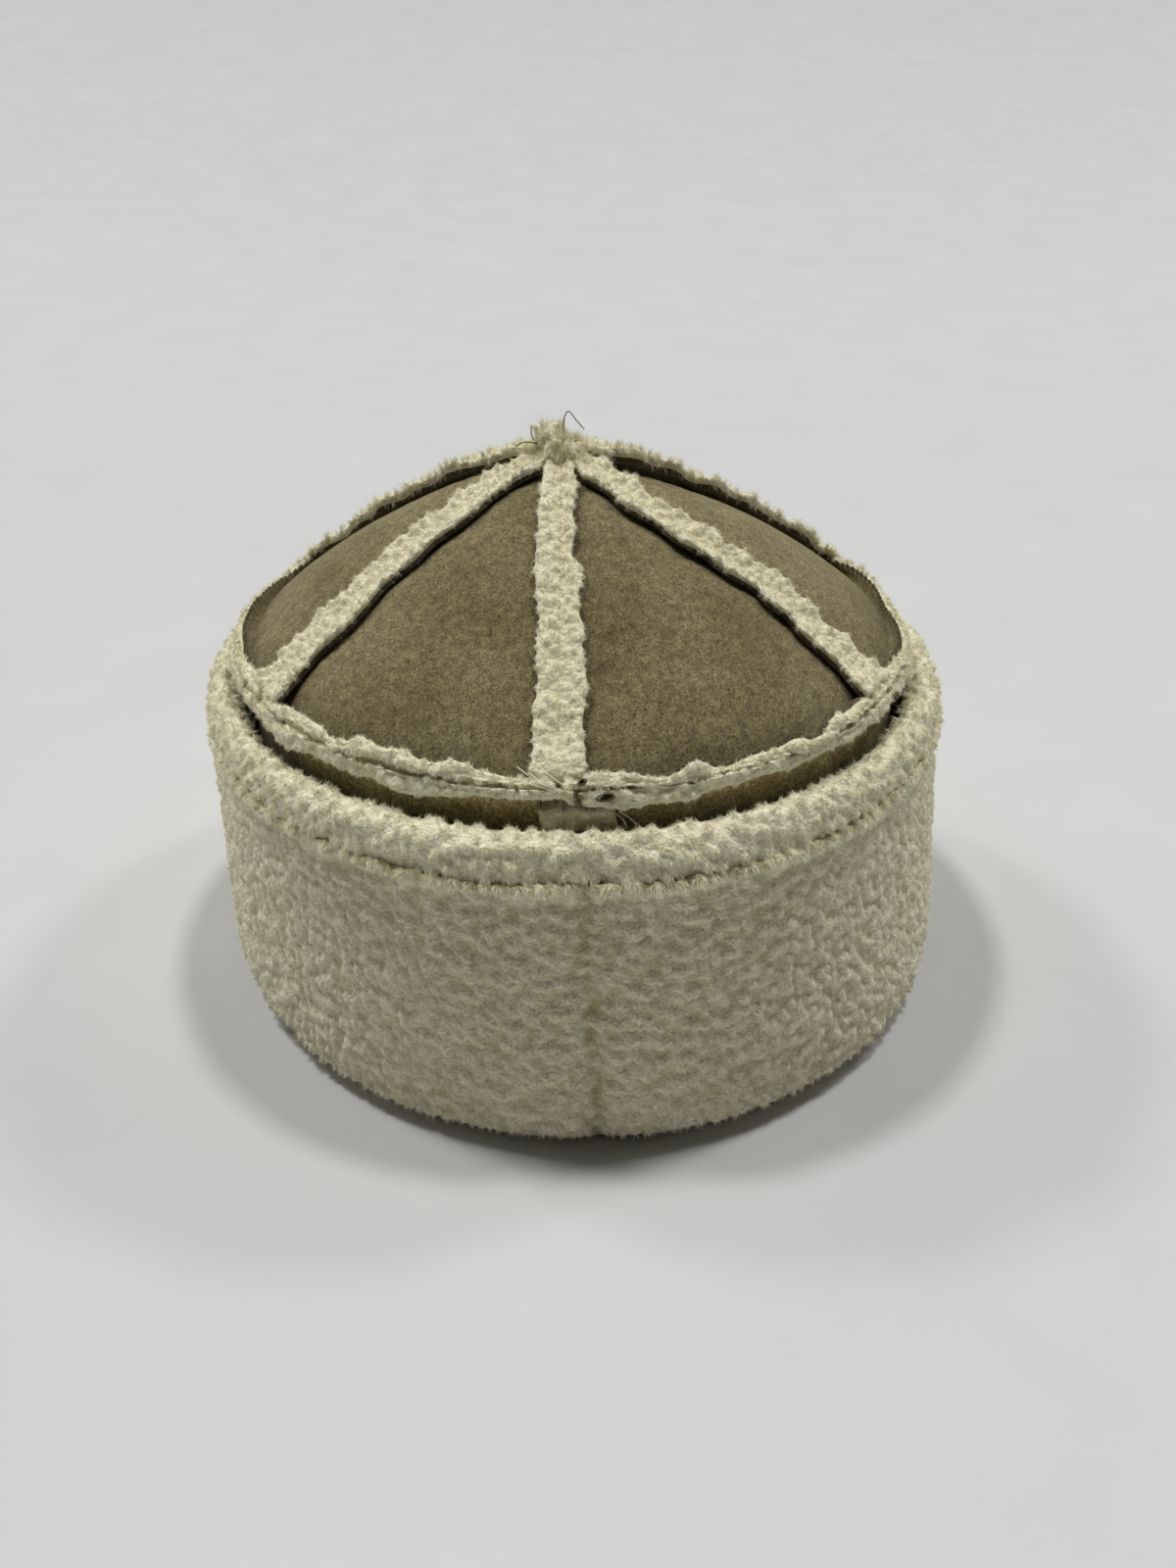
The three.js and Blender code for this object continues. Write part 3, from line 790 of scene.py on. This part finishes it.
def fibres(
    surface, count, length, width, tone_at, clump, seed,
    stretch=1.0, comb=None, stray=0.05, tint_and_painted_shade=None, grow=None, painted_gap_shade=0.5,
):
    """Pile on a surface in clumps of locks and a few strays, each clump painted paler on its top and darker between:
    painted light and shade.
    """
    points, faces, weight, normals = surface
    spot, normal, _ = scatter(points, faces, weight, normals, int(CROWD * count))
    far, way, draw = clumps(spot * stretch, clump, seed)
    kept = np.flatnonzero(rng.random(len(spot)) > BARE * smoothstep(far, 0.35, 0.8))[:count]
    count = len(kept)
    spot, normal, far, way, draw = (v[kept] for v in (spot, normal, far, way, draw))
    lock, lock_way, lock_draw = clumps(spot, TUFT, seed + 1)
    lean = GATHER * way / (clump * stretch) + 0.4 * lock_way / TUFT
    if comb is not None:
        lean = lean + comb(spot)
    size = length * (0.7 + 0.6 * rng.random(count)) * (0.8 + 0.3 * np.minimum(far, 1))
    if grow is not None:
        size = size * grow(spot)
    thin = width * (0.7 + 0.6 * rng.random(count))
    stand = mix(STAND_LOW, STAND_HIGH, rng.random(count))
    up = rng.random(count) < stray
    stand = np.where(up, stand + np.radians(30), stand)
    size = np.where(up, 1.6 * size, size)
    thin = np.where(up, 0.5 * thin, thin)
    tone = tone_at + 0.08 * (draw - 0.5) + 0.08 * (lock_draw - 0.5) + 0.05 * rng.normal(size=count)
    # Painted shade between clumps and, less, between locks.
    tone = tone - painted_gap_shade * smoothstep(far, 0.35, 0.8) - 0.1 * smoothstep(lock, 0.4, 0.9)
    # Painted light on each clump's upper side.
    tone = tone - CLUMP_PAINTED_LIGHT * way[:, 2] / clump
    # Painted shade along the cuff's seam and hem, or the tuft's olive patches with painted shade in its hollow.
    if tint_and_painted_shade is not None:
        tone = tone + tint_and_painted_shade(spot)
    tone = np.clip(tone + 0.04 * soft_noise(spot, 16, seed + 5), 0.05, 1)
    return pile(spot, normal, lean, size, thin, tone, stand)


# The crown, gore by gore
def foot_growth(spot):
    """Longer where the lip stands up."""
    return 1 + 0.8 * smoothstep(np.degrees(from_front(np.arctan2(spot[:, 0], -spot[:, 1]))), 62, 76)


SEAM_FIBRES, FOOT_FIBRES, TIP_FIBRES = 7000, 7000, 2600
FLUFF = [1.2, 1.4, 2.2, 2.0, 2.2, 1.4]  # length of the pile along each seam
inside_surfaces = []
for g in range(len(GORES)):
    panel, inside = gore_panel(g)
    inside_surfaces.append(inside)
    first, first_top = seam_lip(g, g, -1)
    second, second_top = seam_lip(g, (g + 1) % len(SEAMS), 1)
    foot, foot_top = foot_lip(g)
    tips, tip_top = gore_tip(g)
    piece(f"gore_{g + 1}", [panel, first, second, foot, *tips], LAYERS, f"crown_gore_{g + 1}")
    after = (g + 1) % len(SEAMS)
    wool = [
        fibres(first_top, SEAM_FIBRES, FLUFF[g], 0.15, 1.3, NUB_LIP, 20 + 2 * g),
        fibres(second_top, SEAM_FIBRES, FLUFF[after], 0.15, 1.3, NUB_LIP, 21 + 2 * after),
        fibres(foot_top, FOOT_FIBRES, 1.3, 0.16, 1.36, NUB_LIP, 63 + g, grow=foot_growth),
        fibres(tip_top, TIP_FIBRES, 2.8, 0.15, 1.15, 2.8, 84 + g, stray=0.25, tint_and_painted_shade=tuft_tone),
    ]
    piece(f"seam_wool_{g + 1}", wool, [FIBRE])

# The side band
BAND_ROWS = 640


def strip_azimuths(seam, radius, count):
    edge = np.arcsin(GAP / 2 / radius)
    return np.linspace(seam + edge, seam + TURN - edge, count)


def band_wall():
    azimuth = strip_azimuths(BAND_TURN, RING_RADIUS - RING_DEPTH, 260)
    outer_z = np.linspace(RING_HEIGHT - 2, BAND_FOOT, 22)
    rows = [ring_point(azimuth, 0, -1)]
    for z in outer_z:
        spot = polar(azimuth, band_radius(z), z)
        wrinkle = np.sin(TURN * azimuth * RING_RADIUS / 11 + 3 * soft_noise(spot, 25, 90))
        move = 0.35 * soft_noise(spot, 16, 91) + 0.3 * wrinkle * smoothstep(z, 70, 95)
        rows.append(polar(azimuth, band_radius(z) + move, z))
    for z in outer_z[::-1]:
        rows.append(polar(azimuth, band_radius(z) - PELT, z))
    rows.append(ring_point(azimuth, RING_DEPTH, -1))
    points = np.stack(rows, 1)
    count, cols = points.shape[:2]
    flat = points.reshape(-1, 3)
    faces, uv, _, j = grid_faces(count, cols, wrap_cols=True)
    normals = point_normals(flat, faces)
    wanted = np.concatenate([np.full(cols // 2, 1.0), np.full(cols // 2, -1.0)])
    outward = unit(flat * [1, 1, 0])
    if (dot(normals, outward)[:, 0].reshape(count, cols) * wanted).sum() < 0:
        faces, uv, normals = faces[:, ::-1], uv[:, ::-1], -normals
    outside = j < cols // 2 - 1
    height = np.tile(np.concatenate([[RING_HEIGHT], outer_z, outer_z[::-1], [RING_HEIGHT]]), count)
    # Painted light: the outer suede is painted far paler towards its top, against the shade of the ring's lips over
    # it.
    tone = np.where(np.tile(wanted, count) > 0, 0.8 + 2.0 * smoothstep(height, 80, 92), 1.2)
    material = np.where(outside, SUEDE_AT, INSIDE_AT)
    inside = np.where((j >= cols // 2) & (j < cols - 1), 1.0, 0.0)
    return Patch(flat, faces, uv, tone, material), (flat, faces, inside, normals)


def band_top_lip():
    azimuth = strip_azimuths(BAND_TURN, RING_RADIUS, BAND_ROWS)
    share = np.linspace(0, 1, BAND_ROWS)
    distance = azimuth * RING_RADIUS
    width = ring_row(azimuth)[1] + 1.3 * along_noise(distance, 13, 93) + 0.3 * along_noise(distance, 4, 92)
    lift = BAND_LIP_LIFT + 0.6 * along_noise(distance, 12, 94)
    stand = BAND_LIP_STAND + 6 * along_noise(distance, 10, 99)
    across, height = lip_section(width, lift, valley=RING_VALLEY, stand=stand)
    height = close_ends(height, share, np.ptp(distance))
    over = np.minimum(1, across / LIP_WIDTH)
    z = RING_HEIGHT - across + mix(RING_UP, 0, over) * height
    out = mix(RING_OUT, 1, over) * height
    points = polar(azimuth[:, None], band_radius(RING_HEIGHT - across) + out, z)
    return lip_patch(points, 95)


def band_seam_lip(side):
    z = np.linspace(BAND_SEAM["foot"], BAND_SEAM["head"], 110)
    share = np.linspace(0, 1, len(z))
    width = BAND_SEAM["width"] + 0.5 * along_noise(z, 9, 96 + (side > 0))
    lift = np.full_like(z, BAND_SEAM["lift"])
    across, height = lip_section(width, lift, BAND_SEAM["pile"])
    height = close_ends(height, share, np.ptp(z))
    radius = band_radius(z)[:, None]
    points = polar(BAND_TURN + side * across / radius, radius + height, z[:, None])
    return lip_patch(points, 97 + (side > 0))


wall, wall_inside = band_wall()
inside_surfaces.append(wall_inside)
top_lip, top_lip_wool = band_top_lip()
right_lip, right_wool = band_seam_lip(1)
left_lip, left_wool = band_seam_lip(-1)
piece("band", [wall, top_lip, right_lip, left_lip], LAYERS, "side_band")
piece(
    "band_wool",
    [
        fibres(top_lip_wool, 36000, 1.2, 0.16, 1.36, NUB_LIP, 95),
        # Painted light: the two tongues are painted a little paler, with less painted shade between clumps, against
        # the shade of the ring's lip over them.
        fibres(right_wool, 5000, 1.3, 0.15, 1.4, NUB_LIP, 98, painted_gap_shade=0.3),
        fibres(left_wool, 5000, 1.3, 0.15, 1.4, NUB_LIP, 97, painted_gap_shade=0.3),
    ],
    [FIBRE],
)

# The cuff
CUFF_ROUND = 640
CUFF_OUTER_STEP, CUFF_INNER_STEP = 1.0, 6.0
NUB_CUFF, NUB_RIM = 2.3, 3.4
NUB_WALL_DEPTH, NUB_RIM_DEPTH = 1.7, 1.8
NUB_STRETCH = np.array([1, 1, 0.7])
RIM_FROM = 80.5
PILE_IN = 0.9  # how far the ground of the pile lies inside its outer form


def smooth_section():
    """The cuff's section as one round line: radius, height and place, outer rows first."""
    ring = np.array(CUFF_OUT + CUFF_IN[::-1], float)
    count = len(ring)
    fine = 24
    place = np.arange(count * fine) / fine
    k = place.astype(int)
    u = (place - k)[:, None]
    p0, p1, p2, p3 = (ring[(k + d) % count] for d in (-1, 0, 1, 2))
    curve = 0.5 * (
        2 * p1 + (p2 - p0) * u + (2 * p0 - 5 * p1 + 4 * p2 - p3) * u**2 + (3 * p1 - p0 - 3 * p2 + p3) * u**3
    )
    step = np.linalg.norm(np.roll(curve, -1, 0) - curve, axis=1)
    outer = (place < len(CUFF_OUT) + 0.6) | (place > count - 1.5)
    cost = np.concatenate([[0], np.cumsum(step / np.where(outer, CUFF_OUTER_STEP, CUFF_INNER_STEP))])
    wanted = np.linspace(0, cost[-1], int(cost[-1]), endpoint=False)
    closed = np.concatenate([curve, curve[:1]])
    return [np.interp(wanted, cost, v) for v in (closed[:, 0], closed[:, 1], np.append(place, count))]


def cuff_base():
    radius, z, place = smooth_section()
    cols = len(radius)
    azimuth = np.linspace(0, TURN, CUFF_ROUND, endpoint=False)[:, None]
    last = len(CUFF_OUT)
    outside = np.clip(np.minimum((last - 0.3 - place) / 0.7, place / 1.0), 0, 1)
    rise = smoothstep(z, 0, CUFF_DENT["from"])
    seam = np.arctan2(np.sin(azimuth - CUFF_TURN), np.cos(azimuth - CUFF_TURN)) * radius
    dent = CUFF_DENT["depth"] * np.exp(-((seam / CUFF_DENT["width"]) ** 2))
    sway = CUFF_SWAY["depth"] * np.sin(CUFF_SWAY["waves"] * azimuth + CUFF_SWAY["twist"] * z)
    points = polar(azimuth, radius + outside * rise * (sway - dent), z)
    flat = points.reshape(-1, 3)
    faces, uv, _, j = grid_faces(CUFF_ROUND, cols, wrap_rows=True, wrap_cols=True)
    normals = point_normals(flat, faces)
    middle = np.argmin(np.where(place < last, np.abs(z - 50), 1e9))
    if (normals.reshape(CUFF_ROUND, cols, 3)[:, middle] * flat.reshape(CUFF_ROUND, cols, 3)[:, middle]).sum() < 0:
        faces, uv, normals = faces[:, ::-1], uv[:, ::-1], -normals
    woolly = np.clip(np.minimum((last + 0.6 - place) / 0.6, 1), 0, 1) + (place > 2 * last - 1)
    woolly = np.tile(woolly, CUFF_ROUND)
    wool_z = np.tile(z, CUFF_ROUND)
    nub, draw = nubs(flat * NUB_STRETCH, NUB_CUFF, 101)
    rim_nub, _ = nubs(flat, NUB_RIM, 107)
    rim = smoothstep(wool_z, RIM_FROM - 1, RIM_FROM + 1)
    nub_rise = mix(NUB_WALL_DEPTH * nub, NUB_RIM_DEPTH * rim_nub, rim) / 2
    lumps = 0.35 * soft_noise(flat, 14, 104) + 0.25 * soft_noise(flat, 7, 105)
    beside = np.abs(seam).ravel()
    groove = mix(2.4, 1.5, smoothstep(wool_z, 6, 14)) * np.exp(-((beside / 1.6) ** 2)) * (wool_z < HEM_GROOVE + 2)
    front = 1 - smoothstep(np.degrees(from_front(np.repeat(azimuth.ravel(), cols))), 45, 75)
    outer_face = np.tile(place < last - 0.5, CUFF_ROUND)
    hem = -1.5 * np.exp(-(((wool_z - HEM_GROOVE) / 2.3) ** 2)) * outer_face
    flatten = np.clip((wool_z - 0.2) / 3, 0, 1)
    move = woolly * flatten * (nub_rise + lumps - PILE_IN * (1 - 0.7 * rim)) - flatten * (groove + hem) * outer_face
    flat = flat + normals * move[:, None]
    flat[:, 2] = np.maximum(flat[:, 2], 0.02)
    normals = point_normals(flat, faces)
    # Painted shade between the nubs, paler on their tops, and a painted highlight on the rim; the draw varies the
    # tone at random.
    tone = np.where(woolly > 0.5, 0.74 + 0.2 * nub + 0.05 * draw + 0.06 * rim, 0.7)
    # Painted shade along the front seam's groove and, towards the front, along the hem's stitching.
    tone = tone - 0.2 * np.exp(-((beside / 1.8) ** 2)) * outer_face * (wool_z < HEM_GROOVE)
    tone = tone - 0.22 * np.exp(-(((wool_z - HEM_GROOVE) / 1.4) ** 2)) * outer_face * front
    face_place = place[j]
    wool_face = (face_place < last + 0.4) | (face_place > 2 * last - 1.2)
    weight = np.where(face_place < last + 0.2, 1.0, 0.0)
    face_z = z[j]
    weight = weight * np.where((face_z < 1.5) & (face_place < 4), 0.35, 1.0)
    patch = Patch(flat, faces, uv, tone, np.where(wool_face, 0, 1))
    return patch, (flat, faces, weight, normals), face_z


def cuff_comb(spot):
    """Down the wall, more so low down, and over the hem's stitching."""
    z = spot[:, 2:]
    over_hem = 1.1 * np.exp(-(((z - HEM_GROOVE - 1.5) / 1.8) ** 2))
    return np.array([0.0, 0.0, -1.0]) * (mix(0.3, 0.1, smoothstep(z, 10, 75)) + over_hem)


cuff_patch, cuff_surface, cuff_z = cuff_base()
piece("cuff_pelt", [cuff_patch], [WOOL, SUEDE], "cuff")


def beside_seam(spot):
    """1 on the front seam, less beside it."""
    away = np.arctan2(spot[:, 0], -spot[:, 1]) - CUFF_TURN
    return np.exp(-((away * np.hypot(spot[:, 0], spot[:, 1]) / 1.5) ** 2))


def seam_shade(spot):
    """Painted shade: darker along the front seam and, towards the front, along the hem's stitching."""
    turn = np.degrees(from_front(np.arctan2(spot[:, 0], -spot[:, 1])))
    hem = (1 - smoothstep(turn, 25, 70)) * np.exp(-(((spot[:, 2] - HEM_GROOVE) / 1.3) ** 2))
    below = spot[:, 2] < HEM_GROOVE
    return -0.48 * beside_seam(spot) * below - 0.3 * hem


def wall_growth(spot):
    """Longer along the bottom edge, but not on the front seam."""
    low = 0.9 * (1 - smoothstep(spot[:, 2], 4, 12)) * smoothstep(spot[:, 2], 0.3, 2)
    return (1 + low) * (1 - 0.6 * beside_seam(spot))


def rim_growth(spot):
    """Longer towards the band, above all at the sides, and over the hem's stitching."""
    radius = np.hypot(spot[:, 0], spot[:, 1])
    inner = 1 - smoothstep(radius, 97, 102)
    beside = smoothstep(np.degrees(from_front(np.arctan2(spot[:, 0], -spot[:, 1]))), 40, 70)
    over_hem = (radius > 102) * np.exp(-(((spot[:, 2] - HEM_GROOVE - 1.5) / 1.8) ** 2))
    return 1 + inner * (0.1 + 0.8 * beside) + 0.5 * over_hem * (1 - beside)


CUFF_SPLIT = 41
WALL = {"stretch": NUB_STRETCH, "grow": wall_growth, "painted_gap_shade": 0.8, "tint_and_painted_shade": seam_shade}
RIM = {"grow": rim_growth, "painted_gap_shade": 0.35, "tint_and_painted_shade": seam_shade}
PILE_ROWS = [
    ("cuff_wool_low", cuff_z < CUFF_SPLIT, 130000, 1.0, NUB_CUFF, 101, WALL),
    ("cuff_wool_high", (cuff_z >= CUFF_SPLIT) & (cuff_z < RIM_FROM), 125000, 1.0, NUB_CUFF, 101, WALL),
    ("cuff_wool_rim", cuff_z >= RIM_FROM, 74000, 1.6, NUB_RIM, 107, RIM),
]
for name, chosen, count, length, clump, seed, more in PILE_ROWS:
    points, faces, weight, normals = cuff_surface
    surface = (points, faces, weight * chosen, normals)
    wool = fibres(surface, count, length, 0.19, 1.34, clump, seed, comb=cuff_comb, **more)
    wool.points[:, 2] = np.maximum(wool.points[:, 2], 0.03)
    piece(name, [wool], [FIBRE])

# The pile inside the hat
INSIDE_FIBRES = [2500] * len(GORES) + [15000]
piece(
    "inside_wool",
    [
        fibres(surface, count, 3.0, 0.45, 0.85, NUB_CUFF, 120 + k)
        for k, (surface, count) in enumerate(zip(inside_surfaces, INSIDE_FIBRES))
    ],
    [FIBRE],
)


# Stray threads
def thread(path, radius, sides=5, steps=8):
    """A thin tube through points."""
    path = np.array(path, float)
    count = (len(path) - 1) * steps + 1
    place = np.linspace(0, len(path) - 1, count)
    k = np.minimum(place.astype(int), len(path) - 2)
    u = (place - k)[:, None]
    ends = np.concatenate([[2 * path[0] - path[1]], path, [2 * path[-1] - path[-2]]])
    p0, p1, p2, p3 = (ends[k + d] for d in range(4))
    line = 0.5 * (
        2 * p1 + (p2 - p0) * u + (2 * p0 - 5 * p1 + 4 * p2 - p3) * u**2 + (3 * p1 - p0 - 3 * p2 + p3) * u**3
    )
    ahead = unit(np.gradient(line, axis=0))
    side = unit(np.cross(ahead, [0.3, 0.9, 0.31]))
    other = np.cross(ahead, side)
    turn = np.linspace(0, TURN, sides, endpoint=False)[None, :, None]
    points = line[:, None] + radius * (np.cos(turn) * side[:, None] + np.sin(turn) * other[:, None])
    faces, uv, _, _ = grid_faces(count, sides, wrap_cols=True)
    return Patch(points.reshape(-1, 3), faces, uv, 1.0, 0)


def ring_place(degrees, out, up):
    return polar(np.radians(degrees), RING_RADIUS + out, RING_HEIGHT + up)


def cut_end(middle, across, along, half_width, half_height, rim):
    """The folded end of a lip: a small mouth painted dark as shade, with a round rim of hide."""
    across, along = unit(np.array(across, float)), unit(np.array(along, float))
    facing = np.cross(across, along)
    turn = np.linspace(0, TURN, 20, endpoint=False)[:, None, None]
    roll = np.linspace(0, TURN, 8, endpoint=False)[None, :, None]
    wide = 1 + rim / half_width * np.cos(roll)
    ring = half_width * wide * np.cos(turn) * across + half_height * wide * np.sin(turn) * along
    points = middle + ring + rim * np.sin(roll) * facing
    faces, uv, _, _ = grid_faces(20, 8, wrap_rows=True, wrap_cols=True)
    mouth = middle + 0.95 * (half_width * np.cos(turn) * across + half_height * np.sin(turn) * along)[:, 0]
    fan = np.stack([np.full(18, 0), np.arange(1, 19), np.arange(2, 20)], -1)
    return [
        Patch(points.reshape(-1, 3), faces, uv, 1.1, 0),
        # The mouth is a dark disc of painted shade.
        Patch(mouth, fan, np.full((18, 3, 2), 0.5), 0.15, 0),
    ]


APEX_THREADS = [
    [(0.5, -1, 7), (0.9, -1.5, 11.5), (2.2, -1.5, 13.6), (4.2, -1.5, 11.2), (6.2, -1.5, 8.8)],
    [(-7, 0, 4), (-8.2, 0, 7), (-8.0, 0, 9.5)],
    [(-6, -2, 5), (-10, -2, 5.5), (-12.5, -2, 4.4)],
]
FRAYED = [
    [(-1.6, 3.2, 1.5), (-4.4, 2.8, 4.2), (-6.8, 1.2, 6.4)],
    [(-1.2, 3.6, 1.0), (-3.4, 3.6, 2.6), (-5.9, 2.9, 3.4)],
    [(0.6, 3.5, 2.0), (-1.2, 3.8, 4.5), (-3.4, 2.6, 7.0)],
    [(-0.5, 3.6, 1.6), (-2.8, 3.6, 3.6), (-5.2, 2.4, 5.6)],
    [(7.0, 3.2, -4.6), (8.2, 4.4, -5.4), (9.3, 5.0, -7.2)],
    [(6.6, 3.2, -5.0), (7.6, 4.6, -6.4), (8.0, 5.2, -8.2)],
]
piece(
    "threads",
    [thread([(x, y, APEX + z) for x, y, z in path], 0.16) for path in APEX_THREADS],
    [THREAD],
)
piece("frayed_threads", [thread([ring_place(*spot) for spot in path], 0.13) for path in FRAYED], [FIBRE])
piece(
    "cut_ends",
    cut_end(ring_place(5.2, 5.0, 0.5), (1, 0.1, 0.1), (0, 0.75, 0.66), 2.0, 0.8, 0.45)
    + cut_end(ring_place(2.2, 3.2, 3.7), (1, 0, 0.4), (0, 0.75, 0.66), 0.9, 0.6, 0.35)
    + cut_end(ring_place(61, 5.0, 0.4), (0.5, 0.87, 0), (0, 0.5, 0.87), 0.9, 0.7, 0.5),
    [HIDE],
)


# The stage: a pale sweep, two soft lights high behind the hat at either side, and the camera
def sweep():
    """A floor that curves up into a backdrop."""
    near, flat, far, rise = -2.0, 0.6, 5.0, 1.1
    y = np.concatenate([[near], np.linspace(flat, far, 30)])
    z = rise * np.clip((y - flat) / (far - flat), 0, 1) ** 2
    x = np.linspace(-6, 6, 2)
    points = np.stack([np.repeat(x, len(y)), np.tile(y, 2), np.tile(z, 2)], -1)
    faces, _, _, _ = grid_faces(2, len(y))
    mesh = bpy.data.meshes.new("floor")
    mesh.from_pydata(points.tolist(), [], faces[:, ::-1].tolist())
    mesh.polygons.foreach_set("use_smooth", np.ones(len(faces), bool))
    n = Nodes("floor")
    colour = n.ramp(n.noise(60, 3, 12.0), [(0.3, (0.60, 0.60, 0.595)), (0.7, (0.63, 0.63, 0.627))])
    n.bump(n.noise(2.5, 2, 13.0), 0.15, 0.3)
    mesh.materials.append(n.finish(colour, 0.9))
    floor = bpy.data.objects.new("floor", mesh)
    bpy.context.scene.collection.objects.link(floor)


def sun(name, towards, strength, spread):
    light = bpy.data.lights.new(name, "SUN")
    light.energy = strength
    light.angle = np.radians(spread)
    lamp = bpy.data.objects.new(name, light)
    bpy.context.scene.collection.objects.link(lamp)
    aim = bpy.context.scene.collection.objects[name]
    aim.rotation_mode = "QUATERNION"
    aim.rotation_quaternion = Vector(towards).to_track_quat("-Z", "Y")


sweep()
sun("left_lamp", (0.33, -0.15, -1.0), 1.09, 6)
sun("right_lamp", (-0.22, -0.15, -1.0), 1.07, 6)
sun("left_back", (0.69, -0.43, -0.93), 0.54, 8)
sun("right_back", (-0.69, -0.43, -0.93), 0.54, 8)
sun("left_wall", (1.0, -0.5, -0.5), 0.47, 60)
sun("right_wall", (-1.0, -0.5, -0.5), 0.32, 60)
world = bpy.data.worlds.new("room")
bpy.context.scene.world = world
world.use_nodes = True
world.node_tree.nodes["Background"].inputs["Color"].default_value = (0.95, 0.97, 1.0, 1)
world.node_tree.nodes["Background"].inputs["Strength"].default_value = 0.03

camera_data = bpy.data.cameras.new("camera")
camera_data.sensor_fit = "VERTICAL"
camera_data.sensor_height = 36
camera_data.lens = 28.125
camera_data.clip_start = 0.01
camera = bpy.data.objects.new("camera", camera_data)
camera.location = (0.00073, -0.3314, 0.2492)
camera.rotation_euler = (np.radians(90 - 31.73), 0, 0)
bpy.context.scene.collection.objects.link(camera)
bpy.context.scene.camera = camera
bpy.context.scene.view_settings.view_transform = "Standard"
